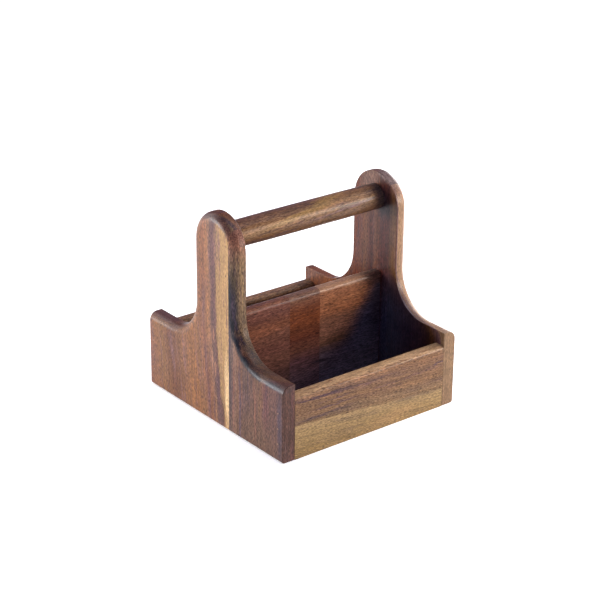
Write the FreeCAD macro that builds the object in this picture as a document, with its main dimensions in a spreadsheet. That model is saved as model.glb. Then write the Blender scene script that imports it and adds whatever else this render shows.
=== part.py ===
import FreeCAD, Part
import math
import os
import re

import Sketcher
from FreeCAD import Rotation, Vector

# A wooden table caddy: two shaped ends, a front and a back panel let in between them, an upright
# divider that parts two bins, a glued-in base and a turned handle. Length runs along X, the front
# faces -Y, and the origin is the middle of the footprint at table height.

doc = FreeCAD.newDocument("caddy")

# --- Driving sizes, in millimetres ---------------------------------------------------------------

SIZES = {
    "caddy_length": 200,  # over the outer faces of the two ends
    "caddy_depth": 204,  # over the front and back edges of an end
    "caddy_height": 202,  # table to the top of an end's head
    "end_thickness": 13.7,
    "lip_height": 73.5,  # flat shoulders of an end, front and back
    "neck_width": 61.6,  # upright neck, which ends in a half-round head
    "neck_forward": 1.4,  # the neck and the handle stand this far in front of the middle
    "sweep_radius": 40,  # hollow sweep from shoulder to neck
    "outer_round": 8.3,  # round-over of an end's outer arris, shoulder to shoulder over the head
    "back_round": 2,  # round-over of an end's back edge
    "foot_round": 2.5,  # round-over of an end's outer foot arris
    "edge_ease": 0.6,  # sanded arrises
    "left_glue_line": 24,  # where the left end's two staves meet, in front of the middle
    "right_glue_line": 22,
    "panel_thickness": 13.5,
    "panel_height": 60.8,
    "panel_round": 4,
    "divider_thickness": 12,
    "divider_height": 105.3,
    "divider_forward": 4,  # from the handle's axis forward to the divider's middle plane
    "divider_round": 4,
    "left_seam": -21.5,  # butt seams between the divider's blocks, along X from the middle
    "right_seam": 13.5,
    "base_thickness": 10,
    "base_glue_line": 12,  # where the base's two staves meet, behind the middle
    "handle_diameter": 25.4,
    "handle_end_diameter": 24.6,
    "handle_taper": 45,  # length over which the handle narrows towards each end
    "handle_drop": 24.3,  # top of an end's head down to the handle's axis
    "socket_depth": 8,
    "socket_clearance": 0.1,
    "glue_gap": 0.05,  # film of glue in every joint
    "brad_diameter": 1.4,
    "brad_length": 30,
    "brad_clearance": 0.1,
    "filler_depth": 1.5,
    "panel_brad_low": 17,  # table to the lowest nail of a panel
    "panel_brad_top": 14,  # a panel's top edge down to its highest nail
    "divider_brad_low": 16,  # base up to the divider's lower nail
    "divider_brad_top": 9,  # divider's top edge down to its upper nail
}

sheet = doc.addObject("Spreadsheet::Sheet", "Sizes")
for row, (alias, number) in enumerate(SIZES.items(), start=1):
    sheet.set(f"A{row}", alias)
    sheet.set(f"B{row}", str(number))
    sheet.setAlias(f"B{row}", alias)
doc.recompute()

# --- Places that several pieces share ------------------------------------------------------------

INNER_LENGTH = "(caddy_length - 2 * end_thickness)"
BOARD_LENGTH = f"({INNER_LENGTH} - 2 * glue_gap)"
PANEL_Y = "(caddy_depth / 2 - panel_thickness / 2)"
DIVIDER_Y = "(-1 * neck_forward - divider_forward)"
DIVIDER_FOOT = "(base_thickness + glue_gap)"
HANDLE_Z = "(caddy_height - handle_drop)"
PANEL_BRADS = [
    "panel_brad_low",
    "(panel_brad_low + panel_height - panel_brad_top) / 2",
    "panel_height - panel_brad_top",
]
DIVIDER_BRADS = ["base_thickness + divider_brad_low", "divider_height - divider_brad_top"]
BRAD_COLUMNS = {
    "front": (f"-1 * {PANEL_Y}", PANEL_BRADS),
    "back": (PANEL_Y, PANEL_BRADS),
    "divider": (DIVIDER_Y, DIVIDER_BRADS),
}
BRAD_HOLE = "(brad_diameter / 2 + brad_clearance)"
BRAD_IN_BOARD = "(filler_depth + brad_length - end_thickness + brad_clearance)"


# --- Helpers -------------------------------------------------------------------------------------


def size(text):
    """Put the sheet's name before each size in an expression."""
    return re.sub(r"[a-z_]+", lambda word: f"Sizes.{word[0]}", text)


def bind(feature, **expressions):
    """Drive a feature's properties from the sheet."""
    for name, text in expressions.items():
        feature.setExpression(name, size(text))


def place(feature, x="0", y="0", z="0", of="Placement"):
    """Drive a feature's position from the sheet."""
    for axis, text in zip("xyz", (x, y, z)):
        feature.setExpression(f"{of}.Base.{axis}", size(text))


def add_sketch(body, role, name, x="0", y="0", lift="0"):
    """Add a sketch to one of the body's origin planes, shifted in the plane and lifted off it."""
    sketch = body.newObject("Sketcher::SketchObject", name)
    plane = next(item for item in body.Origin.OriginFeatures if item.Role == role)
    sketch.AttachmentSupport = [(plane, "")]
    sketch.MapMode = "FlatFace"
    place(sketch, x, y, lift, of="AttachmentOffset")
    return sketch


def line(sketch, start, end):
    return sketch.addGeometry(Part.LineSegment(Vector(*start, 0), Vector(*end, 0)))


def arc(sketch, centre, radius, start, end):
    """Add an arc, counter-clockwise between two angles in degrees."""
    circle = Part.Circle(Vector(*centre, 0), Vector(0, 0, 1), radius)
    return sketch.addGeometry(Part.ArcOfCircle(circle, math.radians(start), math.radians(end)))


def tie(sketch, kind, *places):
    sketch.addConstraint(Sketcher.Constraint(kind, *places))


def dimension(sketch, kind, *places, text):
    """Add a dimension at its drawn value, then drive it from the sheet."""
    if kind == "Radius":
        drawn = sketch.Geometry[places[0]].Radius
    else:
        span = sketch.getPoint(*places[2:]) - sketch.getPoint(*places[:2])
        drawn = span.x if kind == "DistanceX" else span.y
    index = sketch.addConstraint(Sketcher.Constraint(kind, *places, drawn))
    sketch.setExpression(f"Constraints[{index}]", size(text))


def rectangle(sketch, width, height):
    """Draw a rectangle that stands on the sketch's X axis, centred on its Y axis."""
    corners = [(-1, 0), (1, 0), (1, 1), (-1, 1)]
    sides = [line(sketch, corners[i], corners[(i + 1) % 4]) for i in range(4)]
    for i, side in enumerate(sides):
        tie(sketch, "Coincident", side, 2, sides[(i + 1) % 4], 1)
        tie(sketch, "Vertical" if i % 2 else "Horizontal", side)
    tie(sketch, "Symmetric", sides[0], 1, sides[0], 2, -1, 1)
    dimension(sketch, "DistanceX", sides[0], 1, sides[0], 2, text=width)
    dimension(sketch, "DistanceY", sides[1], 1, sides[1], 2, text=height)


def circle_at(sketch, height, radius):
    """Draw a circle on the sketch's Y axis."""
    index = sketch.addGeometry(Part.Circle(Vector(0, 1, 0), Vector(0, 0, 1), 1))
    tie(sketch, "PointOnObject", index, 3, -2)
    dimension(sketch, "DistanceY", -1, 1, index, 3, text=height)
    dimension(sketch, "Radius", index, text=radius)


def pad(body, sketch, length, both_ways=False):
    feature = body.newObject("PartDesign::Pad", f"{sketch.Name}_pad")
    feature.Profile = sketch
    feature.SideType = "Symmetric" if both_ways else "One side"
    bind(feature, Length=length)
    doc.recompute()
    return feature


def cut(body, sketch, depth, towards_plus=False):
    """Pocket the sketch down its normal or, if asked, along it, and see that it cuts."""
    before = body.Shape.Volume
    feature = body.newObject("PartDesign::Pocket", f"{sketch.Name}_cut")
    feature.Profile = sketch
    feature.Reversed = towards_plus
    bind(feature, Length=depth)
    doc.recompute()
    if not body.Shape.Volume < before:
        raise ValueError(f"{feature.Name} cuts nothing")
    return feature


def is_near(value, target):
    return abs(value - target) < 1e-4


def round_edges(body, name, radius, wanted):
    """Fillet the edges whose ends and middle all pass the test."""
    base = body.Tip
    edges = []
    for index, edge in enumerate(base.Shape.Edges, start=1):
        middle = edge.valueAt((edge.FirstParameter + edge.LastParameter) / 2)
        points = [vertex.Point for vertex in edge.Vertexes] + [middle]
        if all(wanted(point) for point in points):
            edges.append(f"Edge{index}")
    if not edges:
        raise ValueError(f"{name} finds no edges")
    feature = body.newObject("PartDesign::Fillet", name)
    feature.Base = (base, edges)
    bind(feature, Radius=radius)
    doc.recompute()
    return feature


def block(name, x, y, z, length, width, height):
    """Make a box with every size and place driven from the sheet."""
    box = doc.addObject("Part::Box", name)
    bind(box, Length=length, Width=width, Height=height)
    place(box, x, y, z)
    return box


def saw(blank, name, stock):
    """Keep the share of a glued-up blank that lies in one block of stock."""
    piece = doc.addObject("Part::Common", name)
    piece.Base = blank
    piece.Tool = stock
    return finish(piece, name)


def mirror(source, name):
    """Mirror a piece from the left end to the right end."""
    image = doc.addObject("Part::Mirroring", name)
    image.Source = source
    image.Normal = Vector(1, 0, 0)
    return image


parts = []


def finish(piece, name):
    """Name a finished sub-part and put it on the list of files."""
    piece.Label = name
    parts.append(piece)
    return piece


# --- Ends: staves glued edge to edge, then cut to outline as one blank ---------------------------


def draw_end_outline(sketch):
    """Draw an end: flat shoulders, hollow sweeps, an upright neck and a half-round head."""
    half = sheet.caddy_depth / 2
    lip = sheet.lip_height
    sweep = sheet.sweep_radius
    middle = -sheet.neck_forward
    neck_front = middle - sheet.neck_width / 2
    neck_back = middle + sheet.neck_width / 2
    head = sheet.caddy_height - sheet.neck_width / 2
    foot = line(sketch, (-half, 0), (half, 0))
    back = line(sketch, (half, 0), (half, lip))
    back_lip = line(sketch, (half, lip), (neck_back + sweep, lip))
    back_sweep = arc(sketch, (neck_back + sweep, lip + sweep), sweep, 180, 270)
    back_neck = line(sketch, (neck_back, lip + sweep), (neck_back, head))
    crown = arc(sketch, (middle, head), sheet.neck_width / 2, 0, 180)
    front_neck = line(sketch, (neck_front, head), (neck_front, lip + sweep))
    front_sweep = arc(sketch, (neck_front - sweep, lip + sweep), sweep, 270, 360)
    front_lip = line(sketch, (neck_front - sweep, lip), (-half, lip))
    front = line(sketch, (-half, lip), (-half, 0))

    for first, second in ((foot, back), (back, back_lip), (front_lip, front), (front, foot)):
        tie(sketch, "Coincident", first, 2, second, 1)
    tie(sketch, "Tangent", back_lip, 2, back_sweep, 2)
    tie(sketch, "Tangent", back_sweep, 1, back_neck, 1)
    tie(sketch, "Tangent", back_neck, 2, crown, 1)
    tie(sketch, "Tangent", crown, 2, front_neck, 1)
    tie(sketch, "Tangent", front_neck, 2, front_sweep, 2)
    tie(sketch, "Tangent", front_sweep, 1, front_lip, 1)
    for flat in (foot, back_lip, front_lip):
        tie(sketch, "Horizontal", flat)
    for upright in (back, back_neck, front_neck, front):
        tie(sketch, "Vertical", upright)
    tie(sketch, "Symmetric", foot, 1, foot, 2, -1, 1)
    tie(sketch, "Equal", back, front)
    tie(sketch, "Equal", back_sweep, front_sweep)
    dimension(sketch, "DistanceX", foot, 1, foot, 2, text="caddy_depth")
    dimension(sketch, "DistanceY", back, 1, back, 2, text="lip_height")
    dimension(sketch, "DistanceX", front_neck, 1, back_neck, 2, text="neck_width")
    dimension(sketch, "Radius", back_sweep, text="sweep_radius")
    dimension(sketch, "DistanceX", crown, 3, -1, 1, text="neck_forward")
    dimension(sketch, "DistanceY", -1, 1, crown, 3, text="caddy_height - neck_width / 2")


def round_end_edges(body):
    """Round the outer arris boldly, the foot and back edge less, and sand the other arrises."""
    thickness = sheet.end_thickness
    half = sheet.caddy_depth / 2
    lip = sheet.lip_height

    def on_outer_arris(p):
        return is_near(p.x, 0) and p.z > lip - 1e-4

    def on_back_edge(p):
        return is_near(p.y, half) and p.x < thickness - 1e-4 and p.z > 1e-4

    def on_foot(p):
        return is_near(p.z, 0) and is_near(p.x, 0)

    def on_front_edge(p):
        return is_near(p.y, -half) and not is_near(p.x, thickness)

    def on_inner_arris(p):
        return is_near(p.x, thickness) and p.z > lip - 1e-4

    round_edges(body, "outer_arris", "outer_round", on_outer_arris)
    round_edges(body, "back_edge", "back_round", on_back_edge)
    round_edges(body, "foot", "foot_round", on_foot)
    round_edges(body, "front_edge", "edge_ease", on_front_edge)
    round_edges(body, "inner_arris", "edge_ease", on_inner_arris)


def make_end_blank():
    """Make the left end, glued up, cut to outline, rounded, socketed and drilled."""
    body = doc.addObject("PartDesign::Body", "left_end_blank")
    place(body, x="-1 * caddy_length / 2")
    outline = add_sketch(body, "YZ_Plane", "end_outline")
    draw_end_outline(outline)
    pad(body, outline, "end_thickness")
    round_end_edges(body)
    socket = add_sketch(body, "YZ_Plane", "socket", x="-1 * neck_forward", lift="end_thickness")
    circle_at(socket, HANDLE_Z, "handle_end_diameter / 2 + socket_clearance")
    cut(body, socket, "socket_depth")
    for column, (across, heights) in BRAD_COLUMNS.items():
        name = f"end_{column}_holes"
        holes = add_sketch(body, "YZ_Plane", name, x=across, lift="end_thickness")
        for height in heights:
            circle_at(holes, height, BRAD_HOLE)
        cut(body, holes, "end_thickness")
    return body


def make_end_staves(blank, side, glue_line):
    """Part a glued-up end along its glue line into a front and a rear stave."""
    low_x = f"{'-1 *' if side == 'left' else ''} caddy_length / 2 - 2 * end_thickness"
    low_z = "-1 * caddy_height / 2"
    extent = ("4 * end_thickness", "caddy_depth", "2 * caddy_height")
    front_y = f"-1 * {glue_line} - glue_gap / 2 - caddy_depth"
    rear_y = f"-1 * {glue_line} + glue_gap / 2"
    front_stock = block(f"{side}_front_stock", low_x, front_y, low_z, *extent)
    rear_stock = block(f"{side}_rear_stock", low_x, rear_y, low_z, *extent)
    saw(blank, f"{side}_end_front_stave", front_stock)
    saw(blank, f"{side}_end_rear_stave", rear_stock)


left_blank = make_end_blank()
make_end_staves(left_blank, "left", "left_glue_line")
right_blank = mirror(left_blank, "right_end_blank")
make_end_staves(right_blank, "right", "right_glue_line")

# --- Boards between the ends: front panel, back panel and divider --------------------------------


def make_board(name, thickness, height, top_round, y, z, brad_heights):
    """Make a board that spans the ends, rounded along its top and drilled in both end grains."""
    body = doc.addObject("PartDesign::Body", name)
    place(body, y=y, z=z)
    section = add_sketch(body, "YZ_Plane", f"{name}_section")
    rectangle(section, thickness, height)
    pad(body, section, BOARD_LENGTH, both_ways=True)
    top = body.Tip.Shape.BoundBox.ZMax
    side = body.Tip.Shape.BoundBox.YMax

    def on_long_top_edge(p):
        return is_near(p.z, top) and is_near(abs(p.y), side)

    round_edges(body, f"{name}_top", top_round, on_long_top_edge)
    for end, sign in (("left", "-1 *"), ("right", "")):
        end_face = f"{sign} {BOARD_LENGTH} / 2"
        holes = add_sketch(body, "YZ_Plane", f"{name}_{end}_holes", lift=end_face)
        for brad_height in brad_heights:
            circle_at(holes, f"{brad_height} - {z}", BRAD_HOLE)
        cut(body, holes, BRAD_IN_BOARD, towards_plus=end == "left")
    return body


for panel, across in (("front_panel", f"-1 * {PANEL_Y}"), ("back_panel", PANEL_Y)):
    board = make_board(
        panel, "panel_thickness", "panel_height", "panel_round", across, "0", PANEL_BRADS
    )
    finish(board, panel)

divider_blank = make_board(
    "divider_blank",
    "divider_thickness",
    f"divider_height - {DIVIDER_FOOT}",
    "divider_round",
    DIVIDER_Y,
    DIVIDER_FOOT,
    DIVIDER_BRADS,
)


def make_divider_block(name, left, right):
    """Keep the divider between two places along its length."""
    stock = block(
        f"{name}_stock",
        left,
        f"{DIVIDER_Y} - divider_thickness",
        "0",
        f"{right} - ({left})",
        "2 * divider_thickness",
        "2 * divider_height",
    )
    saw(divider_blank, name, stock)


make_divider_block("divider_left_block", "-1 * caddy_length / 2", "left_seam - glue_gap / 2")
make_divider_block("divider_middle_block", "left_seam + glue_gap / 2", "right_seam - glue_gap / 2")
make_divider_block("divider_right_block", "right_seam + glue_gap / 2", "caddy_length / 2")

# --- Base: two staves glued between the walls ----------------------------------------------------

BASE_EDGE = "(caddy_depth / 2 - panel_thickness - glue_gap)"


def make_base_stave(name, front, back):
    """Make one stave of the base, between two places across the depth."""
    low_x = f"-1 * {BOARD_LENGTH} / 2"
    width = f"{back} - ({front})"
    stave = block(name, low_x, front, "0", BOARD_LENGTH, width, "base_thickness")
    return finish(stave, name)


make_base_stave("base_front_stave", f"-1 * {BASE_EDGE}", "base_glue_line - glue_gap / 2")
make_base_stave("base_rear_stave", "base_glue_line + glue_gap / 2", BASE_EDGE)

# --- Handle: a rod turned about X, narrowed towards its ends, which sit in the sockets -----------


def make_handle():
    body = doc.addObject("PartDesign::Body", "handle_rod")
    place(body, y="-1 * neck_forward", z=HANDLE_Z)
    profile = add_sketch(body, "XZ_Plane", "handle_profile")
    inner = sheet.caddy_length / 2 - sheet.end_thickness
    tip = inner + sheet.socket_depth - sheet.socket_clearance
    middle = inner - sheet.handle_taper
    end_radius = sheet.handle_end_diameter / 2
    radius = sheet.handle_diameter / 2
    right_side = [(middle, radius), (inner, end_radius), (tip, end_radius), (tip, 0)]
    left_side = [(-x, y) for x, y in reversed(right_side)]
    corners = left_side + right_side
    ring = zip(corners, corners[1:] + corners[:1])
    lines = [line(profile, start, end) for start, end in ring]
    left_face, left_tenon, left_taper, grip, right_taper, right_tenon, right_face, axis = lines
    for first, second in zip(lines, lines[1:] + lines[:1]):
        tie(profile, "Coincident", first, 2, second, 1)
    for flat in (axis, left_tenon, right_tenon):
        tie(profile, "Horizontal", flat)
    for upright in (left_face, right_face):
        tie(profile, "Vertical", upright)
    tie(profile, "Symmetric", axis, 1, axis, 2, -1, 1)
    tie(profile, "Symmetric", grip, 1, grip, 2, -2)
    tie(profile, "Symmetric", left_taper, 1, right_taper, 2, -2)
    tenons = "2 * (socket_depth - socket_clearance)"
    dimension(profile, "DistanceX", axis, 2, axis, 1, text=f"{INNER_LENGTH} + {tenons}")
    dimension(profile, "DistanceX", left_taper, 1, right_taper, 2, text=INNER_LENGTH)
    dimension(profile, "DistanceX", left_taper, 1, left_taper, 2, text="handle_taper")
    dimension(profile, "DistanceY", axis, 1, right_face, 1, text="handle_end_diameter / 2")
    dimension(profile, "DistanceY", axis, 1, grip, 1, text="handle_diameter / 2")
    turned = body.newObject("PartDesign::Revolution", "turned_rod")
    turned.Profile = profile
    turned.ReferenceAxis = (profile, ["H_Axis"])
    turned.Angle = 360
    doc.recompute()
    return finish(body, "handle_rod")


make_handle()

# --- Nails and filler: driven through the ends from outside, the holes filled flush --------------


def make_pin(name, x, y, z, radius, length):
    """Make a round pin that lies along X."""
    pin = doc.addObject("Part::Cylinder", name)
    pin.Placement.Rotation = Rotation(Vector(0, 1, 0), 90)
    bind(pin, Radius=radius, Height=length)
    place(pin, x, y, z)
    return pin


def gather(name, pins):
    """Gather identical pins, each still a solid of its own, as one sub-part."""
    group = doc.addObject("Part::Compound", name)
    group.Links = pins
    return finish(group, name)


OUTER_FACE = "-1 * caddy_length / 2"
BRAD_HEAD = f"{OUTER_FACE} + filler_depth"
BRAD_RADIUS = "brad_diameter / 2"
FILLER_RADIUS = "(brad_diameter / 2 + brad_clearance / 2)"
fillers = []
for column, (across, heights) in BRAD_COLUMNS.items():
    brads = []
    for number, height in enumerate(heights, start=1):
        label = f"{column}_brad_{number}"
        brads.append(make_pin(label, BRAD_HEAD, across, height, BRAD_RADIUS, "brad_length"))
        label = f"{column}_filler_{number}"
        fillers.append(make_pin(label, OUTER_FACE, across, height, FILLER_RADIUS, "filler_depth"))
    left_brads = gather(f"left_{column}_brads", brads)
    right_name = f"right_{column}_brads"
    finish(mirror(left_brads, right_name), right_name)
left_fillers = gather("left_brad_fillers", fillers)
finish(mirror(left_fillers, "right_brad_fillers"), "right_brad_fillers")

# --- Check and write -----------------------------------------------------------------------------

doc.recompute()
for item in doc.Objects:
    if "Invalid" in item.State or "Error" in item.State:
        raise ValueError(f"{item.Label} did not recompute: {item.State}")
for part in parts:
    if part.Shape.isNull() or not part.Shape.isValid() or not part.Shape.Solids:
        raise ValueError(f"{part.Label} has no valid solid")

os.makedirs("parts", exist_ok=True)
for part in parts:
    part.Shape.exportStep(f"parts/{part.Label}.step")
    print(part.Label, len(part.Shape.Solids), round(part.Shape.Volume, 1))
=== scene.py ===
import math

import bmesh
import bpy
from mathutils import Matrix, Vector


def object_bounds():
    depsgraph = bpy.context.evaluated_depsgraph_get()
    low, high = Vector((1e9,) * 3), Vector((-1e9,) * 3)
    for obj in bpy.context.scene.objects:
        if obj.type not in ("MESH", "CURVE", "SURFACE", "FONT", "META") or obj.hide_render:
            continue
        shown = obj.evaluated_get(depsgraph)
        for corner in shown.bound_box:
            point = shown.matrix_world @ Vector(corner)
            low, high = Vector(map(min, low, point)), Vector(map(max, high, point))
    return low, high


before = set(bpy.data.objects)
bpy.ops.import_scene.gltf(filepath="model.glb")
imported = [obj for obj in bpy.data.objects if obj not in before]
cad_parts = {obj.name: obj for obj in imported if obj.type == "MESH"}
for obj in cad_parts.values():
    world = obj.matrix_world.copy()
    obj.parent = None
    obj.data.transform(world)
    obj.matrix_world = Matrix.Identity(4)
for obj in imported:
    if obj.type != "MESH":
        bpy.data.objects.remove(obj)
cad_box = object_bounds()
scene = bpy.context.scene

# --- Camera -----------------------------------------------------------------------------------
# A long lens looks at the caddy from the front left, from a little above. Its heading turns to
# the right from a straight look at the front panel. Then it tilts down and rolls slightly.

HEADING = math.radians(38.4711)
TILT = math.radians(23.427)
ROLL = math.radians(0.5392)
CAMERA_PLACE = Vector((-0.9524, -1.1972, 0.7572))
LENS_MM = 108.79
SENSOR_MM = 36

forward = Vector((math.sin(HEADING), math.cos(HEADING), 0))
level = Vector((math.cos(HEADING), -math.sin(HEADING), 0))
ahead = math.cos(TILT) * forward - math.sin(TILT) * Vector((0, 0, 1))
upright = level.cross(ahead)
rightward = math.cos(ROLL) * level + math.sin(ROLL) * upright
upward = math.cos(ROLL) * upright - math.sin(ROLL) * level

camera_data = bpy.data.cameras.new("camera")
camera_data.lens = LENS_MM
camera_data.sensor_width = SENSOR_MM
camera_data.clip_end = 50
camera = bpy.data.objects.new("camera", camera_data)
camera_turn = Matrix((rightward, upward, -ahead)).transposed().to_4x4()
camera.matrix_world = Matrix.Translation(CAMERA_PLACE) @ camera_turn
scene.collection.objects.link(camera)
scene.camera = camera

# --- Left end: two staves ---------------------------------------------------------------------
# Acacia staves with upright grain, glued edge to edge and cut to outline as one board. The rear
# stave has a stripe of pale sapwood along the glue line, and the front one a blue-black vein.


def linear(code):
    """Turn an sRGB hex colour to the linear colour that a shader takes."""
    parts = [int(code[i : i + 2], 16) / 255 for i in (1, 3, 5)]
    return [c / 12.92 if c <= 0.04045 else ((c + 0.055) / 1.055) ** 2.4 for c in parts] + [1]


def add_node(tree, kind, settings=None, **inputs):
    """Add a node with its settings. Each input takes a value, a node or another node's output.

    An input goes by its name, or by its place with an underscore before it.
    """
    node = tree.nodes.new(kind)
    for name, value in (settings or {}).items():
        setattr(node, name, value)
    for key, value in inputs.items():
        place = int(key[1:]) if key[1:].isdigit() else key.replace("_", " ")
        socket = node.inputs[place]
        if isinstance(value, bpy.types.Node):
            value = value.outputs[0]
        if isinstance(value, bpy.types.NodeSocket):
            tree.links.new(value, socket)
        else:
            socket.default_value = value
    return node


VEIN = "#46343A"
INK = "#201E24"
END_GRAIN_TINT = (0.42, 0.36, 0.36)
MM_PER_METRE = 1000
# Each seed starts its board this many millimetres further along one endless plank.
PLANK_STEP = 50.0
# A streak's length, width and depth in millimetres.
STREAK_SIZE = (60, 3, 9)
# Noise above the first of these makes a streak, which is full from the second.
STREAK_EDGE = (0.48, 0.74)
# A mark fades from nothing to full between these shares of its half length and half width.
MARK_FADE = (1.3, 0.3)
# The grain shows in full on wood as dark as the brown, and only in part on the pale gold.
BROWN_BRIGHTNESS, GOLD_BRIGHTNESS = 0.12, 0.2
GRAIN_ON_GOLD = 0.65
# The relief of the grain in metres, and how much of it the light shows.
GRAIN_RELIEF = 0.0003
RELIEF_SHOWN = 0.35
# A face starts to count as cut across at the first of these slopes, and does so fully at the
# second: 0 lies along the grain and 1 is square across it.
CUT_ACROSS = (0.1, 0.8)
# The roughness of the oiled face, and how much rougher a cut end is.
SATIN = 0.3
DULLER_END = 0.1


def oiled_acacia(
    name, axes, bands, marks=(), lean=(0, 0), slope=0, drift=(0, 1, 0), wander=1.5,
    streaks=0.5, vein=VEIN, seed=0, pores=3.6, end_grain=0.3,
):
    """Oiled acacia, planed and sanded: a satin, open-pored wood with broad veins along the grain.

    It gives the eye a soft sheen that short dark pores break up, under streaks of tan, red-brown
    and purple-black.

    axes names the directions along the grain, across the figure and through the board. bands
    are (millimetres across the figure, hex colour). marks are single streaks, knots and pores,
    and in places painted shade and painted highlights: (along, across, degrees of turn, half
    length, half width, hex colour). The figure leans through the board from one of its faces,
    climbs by its slope along the grain, drifts sideways between two places, and wanders. streaks
    is the strength of the fine streaks in the colour vein, pores that of the open pores, and
    end_grain how much darker the oil leaves the cut ends.
    """
    material = bpy.data.materials.new(name)
    material.use_nodes = True
    tree = material.node_tree
    shader = tree.nodes["Principled BSDF"]
    shader.inputs["IOR"].default_value = 1.48
    shader.inputs["Specular IOR Level"].default_value = 0.22

    # The place in the board, in millimetres along the grain, across the figure and through it.
    coordinates = add_node(tree, "ShaderNodeTexCoord")
    place = add_node(
        tree, "ShaderNodeVectorMath", {"operation": "SCALE"},
        _0=coordinates.outputs["Object"], Scale=MM_PER_METRE,
    )
    place = add_node(tree, "ShaderNodeSeparateXYZ", None, _0=place)
    along, across, through = [place.outputs[axis] for axis in axes]
    across = add_node(
        tree, "ShaderNodeMath", {"operation": "MULTIPLY_ADD"}, _0=along, _1=slope, _2=across
    )
    on_plank = add_node(
        tree, "ShaderNodeMath", {"operation": "ADD"}, _0=along, _1=PLANK_STEP * seed
    )
    board = add_node(tree, "ShaderNodeCombineXYZ", None, X=on_plank, Y=across, Z=through)

    # Long waves bend the figure and short ones fray its edges. Then it leans and drifts. A
    # wave has its size in the board and how far it moves the figure, all in millimetres.
    waves = (((120, 24, 24), 4 * wander), ((36, 6, 8), 2.4 * wander), ((15, 1.3, 2.5), 6.5))
    middle = -sum(reach for size, reach in waves) / 2
    wavy = add_node(tree, "ShaderNodeMath", {"operation": "ADD"}, _0=across, _1=middle)
    for size, reach in waves:
        scale = [1 / length for length in size]
        wave = add_node(tree, "ShaderNodeMapping", None, Vector=board, Scale=scale)
        wave = add_node(tree, "ShaderNodeTexNoise", None, Vector=wave, Scale=1, Detail=2)
        wavy = add_node(
            tree, "ShaderNodeMath", {"operation": "MULTIPLY_ADD"}, _0=wave, _1=reach, _2=wavy
        )
    lean_rate, upright_at = lean
    slant = add_node(
        tree, "ShaderNodeMath", {"operation": "MULTIPLY_ADD"},
        _0=through, _1=lean_rate, _2=-lean_rate * upright_at,
    )
    drift_start, drift_end, drift_reach = drift
    shift = add_node(
        tree, "ShaderNodeMapRange", {"interpolation_type": "SMOOTHSTEP"},
        _0=along, _1=drift_start, _2=drift_end, _4=drift_reach,
    )
    figure = add_node(tree, "ShaderNodeMath", {"operation": "ADD"}, _0=wavy, _1=slant)
    figure = add_node(tree, "ShaderNodeMath", {"operation": "ADD"}, _0=figure, _1=shift)
    bent_board = add_node(tree, "ShaderNodeCombineXYZ", None, X=on_plank, Y=figure, Z=through)

    low, high = bands[0][0], bands[-1][0]
    span = add_node(tree, "ShaderNodeMapRange", None, _0=figure, _1=low, _2=high)
    wood = add_node(tree, "ShaderNodeValToRGB", None, _0=span)
    stops = wood.color_ramp.elements
    for spot, code in bands[1:-1]:
        stops.new((spot - low) / (high - low)).color = linear(code)
    stops[0].color = linear(bands[0][1])
    stops[len(bands) - 1].color = linear(bands[-1][1])
    wood = wood.outputs[0]

    # Fine streaks follow the figure, 2 to 4 mm wide. Marks lie where they are given: streaks,
    # knots and pores of the board, and in places painted shade and painted highlights.
    scale = [1 / length for length in STREAK_SIZE]
    streak = add_node(tree, "ShaderNodeMapping", None, Vector=bent_board, Scale=scale)
    streak = add_node(
        tree, "ShaderNodeTexNoise", None, Vector=streak, Scale=1, Detail=3, Roughness=0.65
    )
    streak = add_node(
        tree, "ShaderNodeMapRange", {"interpolation_type": "SMOOTHSTEP"},
        _0=streak, _1=STREAK_EDGE[0], _2=STREAK_EDGE[1], _4=streaks,
    )
    wood = add_node(
        tree, "ShaderNodeMix", {"data_type": "RGBA"}, _0=streak, _6=wood, _7=linear(vein)
    ).outputs[2]
    flat = add_node(tree, "ShaderNodeCombineXYZ", None, X=along, Y=wavy)
    for mark_along, mark_across, turn, half_length, half_width, code in marks:
        mark = add_node(
            tree, "ShaderNodeMapping", {"vector_type": "TEXTURE"},
            Vector=flat, Location=(mark_along, mark_across, 0),
            Rotation=(0, 0, math.radians(turn)), Scale=(half_length, half_width, 1),
        )
        mark = add_node(tree, "ShaderNodeVectorMath", {"operation": "LENGTH"}, _0=mark)
        mark = add_node(
            tree, "ShaderNodeMapRange", {"interpolation_type": "SMOOTHSTEP"},
            _0=mark.outputs["Value"], _1=MARK_FADE[0], _2=MARK_FADE[1],
        )
        wood = add_node(
            tree, "ShaderNodeMix", {"data_type": "RGBA"}, _0=mark, _6=wood, _7=linear(code)
        ).outputs[2]

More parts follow.
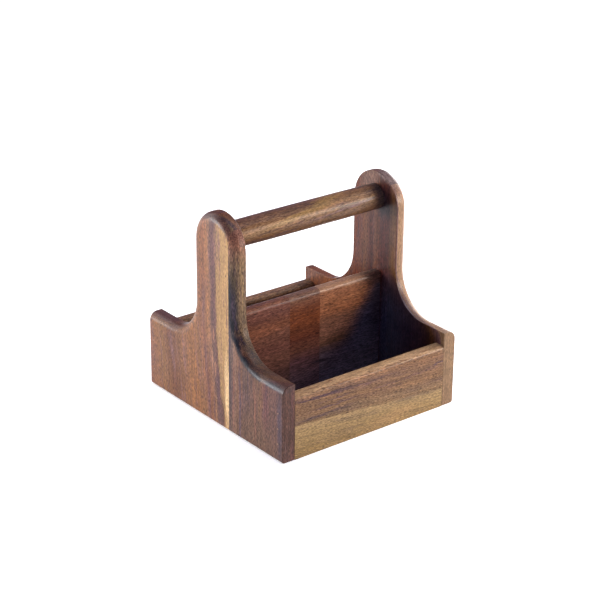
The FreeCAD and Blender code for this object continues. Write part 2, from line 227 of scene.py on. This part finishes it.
    # Year rings, fibres, open pores and curl lighten or darken it, less where the wood is pale.
    # Each has its size in millimetres, its strength and its relief. Fibres and pores are drawn
    # about three times as coarse as the real ones, so that they show.
    tone = 1.0
    relief = 0.0
    for vector, size, strength, height in (
        (bent_board, (120, 2.4, 8), 0.7, 0.0),
        (board, (35, 1.3, 1.3), 1.3, 0.5),
        (board, (3, 0.65, 0.65), pores, 1.0),
        (board, (11, 8, 8), 0.6, 0.0),
    ):
        scale = [1 / length for length in size]
        pattern = add_node(tree, "ShaderNodeMapping", None, Vector=vector, Scale=scale)
        pattern = add_node(tree, "ShaderNodeTexNoise", None, Vector=pattern, Scale=1, Detail=2)
        gain = add_node(
            tree, "ShaderNodeMath", {"operation": "MULTIPLY_ADD"},
            _0=pattern, _1=strength, _2=1 - strength / 2,
        )
        tone = add_node(tree, "ShaderNodeMath", {"operation": "MULTIPLY"}, _0=tone, _1=gain)
        relief = add_node(
            tree, "ShaderNodeMath", {"operation": "MULTIPLY_ADD"}, _0=pattern, _1=height, _2=relief
        )
    grain_share = add_node(
        tree, "ShaderNodeMapRange", None,
        _0=wood, _1=BROWN_BRIGHTNESS, _2=GOLD_BRIGHTNESS, _3=1, _4=GRAIN_ON_GOLD,
    )
    grained = add_node(tree, "ShaderNodeVectorMath", {"operation": "SCALE"}, _0=wood, Scale=tone)
    wood = add_node(
        tree, "ShaderNodeMix", {"data_type": "RGBA"}, _0=grain_share, _6=wood, _7=grained
    ).outputs[2]

    # Cut ends drink more oil, so they are browner, darker and a little duller.
    facing = add_node(tree, "ShaderNodeSeparateXYZ", None, _0=coordinates.outputs["Normal"])
    cut_end = add_node(
        tree, "ShaderNodeMath", {"operation": "ABSOLUTE"}, _0=facing.outputs[axes[0]]
    )
    cut_end = add_node(
        tree, "ShaderNodeMapRange", {"interpolation_type": "SMOOTHSTEP"},
        _0=cut_end, _1=CUT_ACROSS[0], _2=CUT_ACROSS[1],
    )
    soaked = add_node(
        tree, "ShaderNodeVectorMath", {"operation": "MULTIPLY"}, _0=wood, _1=END_GRAIN_TINT
    )
    soaking = add_node(
        tree, "ShaderNodeMath", {"operation": "MULTIPLY"}, _0=cut_end, _1=end_grain
    )
    wood = add_node(
        tree, "ShaderNodeMix", {"data_type": "RGBA"}, _0=soaking, _6=wood, _7=soaked
    ).outputs[2]
    dullness = add_node(
        tree, "ShaderNodeMath", {"operation": "MULTIPLY_ADD"},
        _0=cut_end, _1=DULLER_END, _2=SATIN,
    )
    bump = add_node(
        tree, "ShaderNodeBump", None,
        Strength=RELIEF_SHOWN, Distance=GRAIN_RELIEF, Height=relief,
    )
    tree.links.new(wood, shader.inputs["Base Color"])
    tree.links.new(dullness.outputs[0], shader.inputs["Roughness"])
    tree.links.new(bump.outputs["Normal"], shader.inputs["Normal"])
    return material


def dress(node, material):
    """Give a CAD node its finish."""
    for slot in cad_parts[node].material_slots:
        slot.material = material


left_rear = oiled_acacia(
    "acacia_left_rear", "ZYX",
    [
        (-40, "#B38B54"), (-6.6, "#957146"), (-4.2, "#613D32"), (-1, "#593E36"), (3, "#624335"),
        (7, "#895C38"), (14, "#78492E"), (24, "#795030"), (34, "#7E5029"), (46, "#7A4F2B"),
        (58, "#6C4528"), (72, "#60371F"), (88, "#754D28"), (110, "#6F442D"),
    ],
    marks=[
        (160, -1.5, -1, 70, 3.2, "#5C3C38"), (150, -20.6, 0, 1.6, 0.8, INK),
        (112, 13.5, 0, 26, 2.2, "#6E4A3E"), (60, 10, 3, 28, 2.4, "#6A463C"),
        (20, 6, 3, 24, 2.2, "#62403A"), (88, -1, 2, 8, 1.6, "#8A5C44"),
        (66, 1, 4, 12, 1.5, "#8E6448"), (54, -5, 3, 10, 1.3, "#8A5E44"),
        (34, -9, 2, 26, 2.4, "#583A3A"), (44, -12.5, 3, 16, 0.9, "#A07A4C"),
        (14, -2, 5, 14, 1.2, "#54383A"), (73.5, 84, 90, 24, 2.6, "#664640"),
        (40, -22, 0, 40, 4, "#CCA878"), (187.6, -22.4, 38, 11, 3.2, "#6C4A3C"),
        (194.7, -13.9, 62, 11, 3.2, "#644438"), (197.7, -3.3, 86, 11, 3.2, "#5A3C32"),
        (196.7, 8.9, 112, 12, 2.8, "#5C3E34"),
    ],
    lean=(2.5, -100), drift=(105, -5, 12), streaks=0.85, vein="#6A4947", seed=2, end_grain=0.5,
)
dress("left_end_rear_stave", left_rear)
left_front = oiled_acacia(
    "acacia_left_front", "ZYX",
    [
        (-110, "#4C322B"), (-84, "#5F4034"), (-78, "#5E3833"), (-70, "#694831"), (-46, "#563D32"),
        (-40, "#6F472C"), (-32, "#735442"), (-29, "#5D483D"), (-27.5, "#553E30"),
        (-24.5, "#372C38"), (-22, "#4A3B30"), (-17, "#795E3E"), (0, "#795E3E"),
    ],
    # The dark marks turned step by step from 10 to 90 degrees follow the round-over down the sweep
    # to the lip: partly the blue-black vein, partly a painted dark reflection on the rounded edge.
    marks=[
        (8, -62, 0, 30, 36, "#5F4230"), (132, -25.6, 1, 27, 2.1, INK),
        (40, -31, 0, 45, 1.6, "#754C3A"), (30, -40, 0, 50, 2.0, "#4E3A3E"),
        (35, -62, 1, 40, 1.4, "#744A38"), (105.7, -28.1, 10, 13, 2.8, INK),
        (89.9, -34.5, 32, 13, 3.2, INK), (77.5, -46.0, 54, 13, 3.2, INK),
        (70.2, -61.5, 76, 12, 2.6, "#2C262C"), (69.2, -88, 90, 17, 2.6, "#332C34"),
        (34, -98, 0, 36, 3.6, "#48363A"), (108.1, -33.8, 8, 12, 1.6, "#5E4832"),
        (94.1, -38.6, 30, 12, 1.6, "#5E4832"), (82.9, -48.3, 52, 12, 1.6, "#5E4832"),
        (75.9, -62.8, 76, 12, 1.6, "#5E4832"), (74.8, -88, 90, 18, 1.8, "#74543C"),
        (196, -29, 0, 30, 12, "#835642"), (32, -104.1, 0, 60, 2.6, "#4D3024"),
    ],
    lean=(2.2, -100), drift=(112, 175, 7), wander=0.8, streaks=0.7, vein="#4C353C", seed=31,
    end_grain=0.6,
)
dress("left_end_front_stave", left_front)

# --- Right end: two staves --------------------------------------------------------------------
# The same board as the left end, from a darker plank whose front edge is pale.

right_rear = oiled_acacia(
    "acacia_right_rear", "ZYX",
    [
        (-30, "#4A2B22"), (-12, "#401A14"), (-5, "#552E1C"), (-2, "#613A28"), (1, "#4E291E"),
        (4, "#441F16"), (12, "#633C26"), (24, "#602B13"), (40, "#663C27"), (70, "#744429"),
        (110, "#663C27"),
    ],
    # Two marks are painted shade: the dark patch beside the handle's socket, on its front side,
    # where the rod shades the board, and the blue-grey one low down at the front edge, towards the
    # front bin.
    marks=[
        (150, -0.9, 0, 1.6, 0.9, "#1C1618"), (192, 8, 0, 26, 14, "#6B4A3A"),
        (201, -12, -24, 4.5, 18, "#745C54"), (174, -12, 0, 16, 12, "#35262A"),
        (40, -20, 0, 60, 9, "#484A5C"),
    ],
    lean=(-0.3, 86.3), wander=1.0, seed=57,
)
dress("right_end_rear_stave", right_rear)
right_front = oiled_acacia(
    "acacia_right_front", "ZYX",
    # The two cool blue-grey bands, which lie low on the inner face towards the front bin, are
    # painted shade.
    [
        (-140, "#8D6B4C"), (-44, "#8D6B4C"), (-37, "#644643"), (-28, "#603E1F"), (-20, "#442B26"),
        (0, "#483A42"), (30, "#4C505E"),
    ],
    marks=[(198, -30, 0, 14, 12, "#775646"), (40, -102, 0, 60, 6, "#7E6144")],
    lean=(-6, 86.3), drift=(118, 62, 58), wander=0.8, seed=73, pores=2.4, end_grain=0.1,
)
dress("right_end_front_stave", right_front)

# --- Front and back panels --------------------------------------------------------------------
# Each is one acacia board with level grain, let in between the ends, its top arrises rounded.
# The front one was cut at the sapwood, which makes its lower half pale.

front_wood = oiled_acacia(
    "acacia_front_panel", "XZY",
    [
        (0, "#876A3E"), (18, "#8E7248"), (25, "#91754D"), (26.5, "#725536"), (31, "#75593D"),
        (40, "#7B5838"), (52, "#705036"), (58, "#815B3C"), (62, "#6F4D31"), (70, "#A07A54"),
    ],
    # The long pale mark along the top, 61.8 mm up, lightens the top face and its arris so that
    # they read brighter than the front: partly paler wood, partly a painted highlight.
    marks=[
        (-62, 42, 4.6, 34, 14, "#705034"), (0, 61.8, 4.6, 260, 2.6, "#A6835C"),
        (-50, 49.3, 2.2, 60, 1.7, "#442E30"), (10, 52.6, 4.6, 34, 0.9, "#5E443B"),
        (-45, 38.2, 4.6, 30, 1.1, "#5A4139"), (20, 40.6, 4.6, 26, 1.3, "#604532"),
        (78, 52, 7, 14, 1.1, "#543D3B"), (-55, 31, 4.6, 40, 1.3, "#553E36"),
        (28, 11, 4.6, 30, 6, "#96754A"), (-20, 49.6, 2, 30, 0.8, "#6A4A40"),
        (25, 44.5, 4, 30, 1.2, "#6A4C3E"), (-42, 43.6, 4.6, 20, 1, "#5E443C"),
        (60, 47.5, 3, 24, 1.2, "#6C4C3C"),
    ],
    lean=(0.2, -102), slope=0.0806, wander=0.7, streaks=0.35, seed=91, pores=3.8,
)
dress("front_panel", front_wood)
back_wood = oiled_acacia(
    "acacia_back_panel", "XZY",
    [
        (0, "#68422F"), (20, "#774B31"), (36, "#68422F"), (44, "#563830"), (52, VEIN),
        (56, "#5C3D33"), (62, "#77583C"), (75, "#96683F"),
    ],
    lean=(-0.3, 102), seed=112,
)
dress("back_panel", back_wood)

# --- Divider ----------------------------------------------------------------------------------
# The upright board between the two bins: three acacia blocks with level grain, butted end to
# end, so that the tone changes at each seam. Nails through the end boards hold it.

# In every block the lowest bands, near the foot, are a cool grey-blue: painted shade, giving the
# low, shaded part of the divider the blue cast of its shadow.
block_bands = {
    "divider_left_block": [
        (0, "#554648"), (40, "#583A32"), (50, "#6A4538"), (62, "#664035"), (74, "#714939"),
        (82, "#7F4E37"), (90, "#5D3729"), (101, "#6E4234"), (104.5, "#714935"), (110, "#714935"),
    ],
    "divider_middle_block": [
        (0, "#5A4E56"), (40, "#57393A"), (50, "#643D30"), (62, "#552D20"), (74, "#683822"),
        (82, "#6F3A20"), (90, "#68371F"), (101, "#68412E"), (104.5, "#765642"), (110, "#765642"),
    ],
    "divider_right_block": [
        (0, "#5C5A6A"), (40, "#58474C"), (50, "#60402F"), (62, "#7B523F"), (74, "#664230"),
        (82, "#8D5739"), (90, "#835235"), (101, "#8E5A3B"), (104.5, "#A67C5C"), (110, "#A67C5C"),
    ],
}
for number, (block, bands) in enumerate(block_bands.items()):
    wood = oiled_acacia(
        f"acacia_{block}", "XZY", bands,
        # The last three marks are painted shadow from the right end board: a broad blue-grey zone
        # on the right slanting up towards that end, a darker strip beside it, and a darker top
        # there. They run through the board, so they show from behind too.
        marks=[
            (14, 33, 0, 13, 1.8, "#2A2026"), (77, 58, 56, 80, 24, "#524A54"),
            (86, 84, 78, 40, 13, "#40343A"), (88, 104, 0, 28, 8, "#4A3028"),
        ],
        lean=(0.1, -11.4), slope=0.03 * (number - 1), streaks=0.3, vein="#4A302C",
        seed=130 + 17 * number, pores=3.4,
    )
    dress(block, wood)

# --- Base -------------------------------------------------------------------------------------
# Two wide acacia staves, glued side by side and fitted between the walls. They are the floor
# of both bins.

base_wood = oiled_acacia(
    "acacia_base", "XYZ",
    [
        (-95, "#68422F"), (-60, "#774B31"), (-30, "#68422F"), (10, "#563830"), (12, "#774B31"),
        (50, "#68422F"), (95, "#774B31"),
    ],
    seed=190,
)
for stave in ("base_front_stave", "base_rear_stave"):
    dress(stave, base_wood)

# --- Handle -----------------------------------------------------------------------------------
# A rod turned from one acacia stick and thinned a little towards its ends, which are glued into
# blind sockets in the end boards.

handle_wood = oiled_acacia(
    "acacia_handle", "XZY",
    [
        (160, "#6A4A36"), (168, "#634733"), (173, "#6B4D33"), (178, "#66472C"), (184, "#8E6945"),
        (187, "#704F31"), (195, "#654633"),
    ],
    # The mark at the right end darkens the rod all round there: painted shade, where the right end
    # board keeps the light off. The others are streaks.
    marks=[
        (-8, 185, 4.3, 62, 2.6, "#85643A"), (84, 178, 0, 9, 20, "#3A2A26"),
        (35, 178.5, 2, 45, 1.5, "#6A4E46"), (-40, 174, 1, 50, 1.3, "#59423A"),
    ],
    lean=(0.25, -14), slope=-0.045, streaks=0.6, seed=210, pores=3.2,
)
dress("handle_rod", handle_wood)

# --- Nails and filler -------------------------------------------------------------------------
# Headless wire nails hold the boards through the ends. Filler, a little paler than the wood,
# closes the holes over them flush with the outer faces.

# Bright drawn steel: grey and shiny, with faint lines along the wire that its die left. They
# vary its shade and its roughness.
nail_steel = bpy.data.materials.new("drawn_steel")
nail_steel.use_nodes = True
tree = nail_steel.node_tree
steel = tree.nodes["Principled BSDF"]
steel.inputs["Metallic"].default_value = 1
# The lines are about 17 mm long and a third of a millimetre wide.
LINES_PER_METRE = (60, 3000, 3000)
lines = add_node(tree, "ShaderNodeTexCoord").outputs["Object"]
lines = add_node(tree, "ShaderNodeMapping", None, Vector=lines, Scale=LINES_PER_METRE)
lines = add_node(tree, "ShaderNodeTexNoise", None, Vector=lines, Scale=1, Detail=2)
shade = add_node(
    tree, "ShaderNodeMix", {"data_type": "RGBA"},
    _0=lines, _6=linear("#86888B"), _7=linear("#C4C4C6"),
)
polish = add_node(
    tree, "ShaderNodeMapRange", None, _0=lines, _1=0.3, _2=0.7, _3=0.25, _4=0.45
)
tree.links.new(shade.outputs[2], steel.inputs["Base Color"])
tree.links.new(polish.outputs[0], steel.inputs["Roughness"])

# Oiled wood putty: the same satin, with hardly any grain.
filler_wood = oiled_acacia(
    "wood_filler", "XYZ",
    [(-110, "#8E6A52"), (0, "#9B765C"), (110, "#957058")],
    streaks=0, seed=230, pores=1.2,
)
for side in ("left", "right"):
    for row in ("front", "back", "divider"):
        dress(f"{side}_{row}_brads", nail_steel)
    dress(f"{side}_brad_fillers", filler_wood)

# --- Table and light --------------------------------------------------------------------------
# A white table under six soft boxes: three on the right, one low on the left behind the end
# board, one behind and one overhead. A dim blue room fills the shadows.

TABLE_HALF_WIDTH = 6
TABLE_GAP = 0.0005
PAPER_GLOW = 0.46
GLOW_STARTS_RISING, GLOW_IS_FULL = 0.8, 2.2

table_mesh = bpy.data.meshes.new("table")
shape = bmesh.new()
bmesh.ops.create_grid(shape, x_segments=1, y_segments=1, size=TABLE_HALF_WIDTH)
shape.to_mesh(table_mesh)
shape.free()
table = bpy.data.objects.new("table", table_mesh)
table.location.z = cad_box[0].z - TABLE_GAP
scene.collection.objects.link(table)
# Matt white paper, lit through from below, so that almost no shadow shows on it.
paper = bpy.data.materials.new("white_paper")
paper.use_nodes = True
sheet = paper.node_tree.nodes["Principled BSDF"]
sheet.inputs["Base Color"].default_value = linear("#F8F7F3")
sheet.inputs["Roughness"].default_value = 0.9
sheet.inputs["Emission Color"].default_value = linear("#FFFFFF")
# Far from the caddy it glows more, so that it stays white where the soft boxes don't reach.
tree = paper.node_tree
spot = add_node(tree, "ShaderNodeTexCoord").outputs["Object"]
distance = add_node(tree, "ShaderNodeVectorMath", {"operation": "LENGTH"}, _0=spot)
glow = add_node(
    tree, "ShaderNodeMapRange", None,
    _0=distance.outputs["Value"], _1=GLOW_STARTS_RISING, _2=GLOW_IS_FULL, _3=PAPER_GLOW, _4=1,
)
tree.links.new(glow.outputs[0], sheet.inputs["Emission Strength"])
table_mesh.materials.append(paper)

CADDY_MIDDLE = Vector((0, 0, 0.09))
SOFT_BOX_DISTANCE = 1.3


def soft_box(name, heading, height, width, tall, power, colour="#FFFFFF"):
    """Stand a soft box round the caddy, facing its middle.

    Its heading, from the front to the right, and its height are in degrees. Its width and how
    tall it is are in metres, and its power is in watts.
    """
    turn, lift = math.radians(heading), math.radians(height)
    outward = Vector((math.sin(turn), -math.cos(turn), 0))
    away = math.cos(lift) * outward + math.sin(lift) * Vector((0, 0, 1))
    light = bpy.data.lights.new(name, "AREA")
    light.shape = "RECTANGLE"
    light.size = width
    light.size_y = tall
    light.energy = power
    light.color = linear(colour)[:3]
    lamp = bpy.data.objects.new(name, light)
    lamp.location = CADDY_MIDDLE + SOFT_BOX_DISTANCE * away
    lamp.rotation_euler = (-away).to_track_quat("-Z", "Y").to_euler()
    scene.collection.objects.link(lamp)


soft_box(
    "soft_box_right", heading=46, height=13, width=0.55, tall=0.4, power=14, colour="#FFF8F0"
)
soft_box("soft_box_right_side", heading=82, height=32, width=0.6, tall=0.6, power=10)
soft_box("soft_box_right_rear", heading=110, height=12, width=0.6, tall=0.6, power=12)
soft_box("soft_box_left", heading=-129, height=9, width=0.6, tall=0.5, power=17)
soft_box("soft_box_rear", heading=-160, height=26, width=0.6, tall=0.9, power=7)
soft_box(
    "soft_box_overhead", heading=20, height=76, width=0.8, tall=0.8, power=8.5, colour="#E6ECFF"
)

# The room lights the caddy in dim blue, and is white where the camera sees it past the table.
ROOM_LIGHT = 0.32
room = bpy.data.worlds.new("studio")
room.use_nodes = True
tree = room.node_tree
seen = add_node(tree, "ShaderNodeLightPath").outputs["Is Camera Ray"]
hue = add_node(
    tree, "ShaderNodeMix", {"data_type": "RGBA"},
    _0=seen, _6=linear("#6878D8"), _7=linear("#FFFFFF"),
)
brightness = add_node(tree, "ShaderNodeMapRange", None, _0=seen, _3=ROOM_LIGHT, _4=1)
tree.links.new(hue.outputs[2], tree.nodes["Background"].inputs["Color"])
tree.links.new(brightness.outputs[0], tree.nodes["Background"].inputs["Strength"])
scene.world = room
scene.view_settings.view_transform = "Standard"
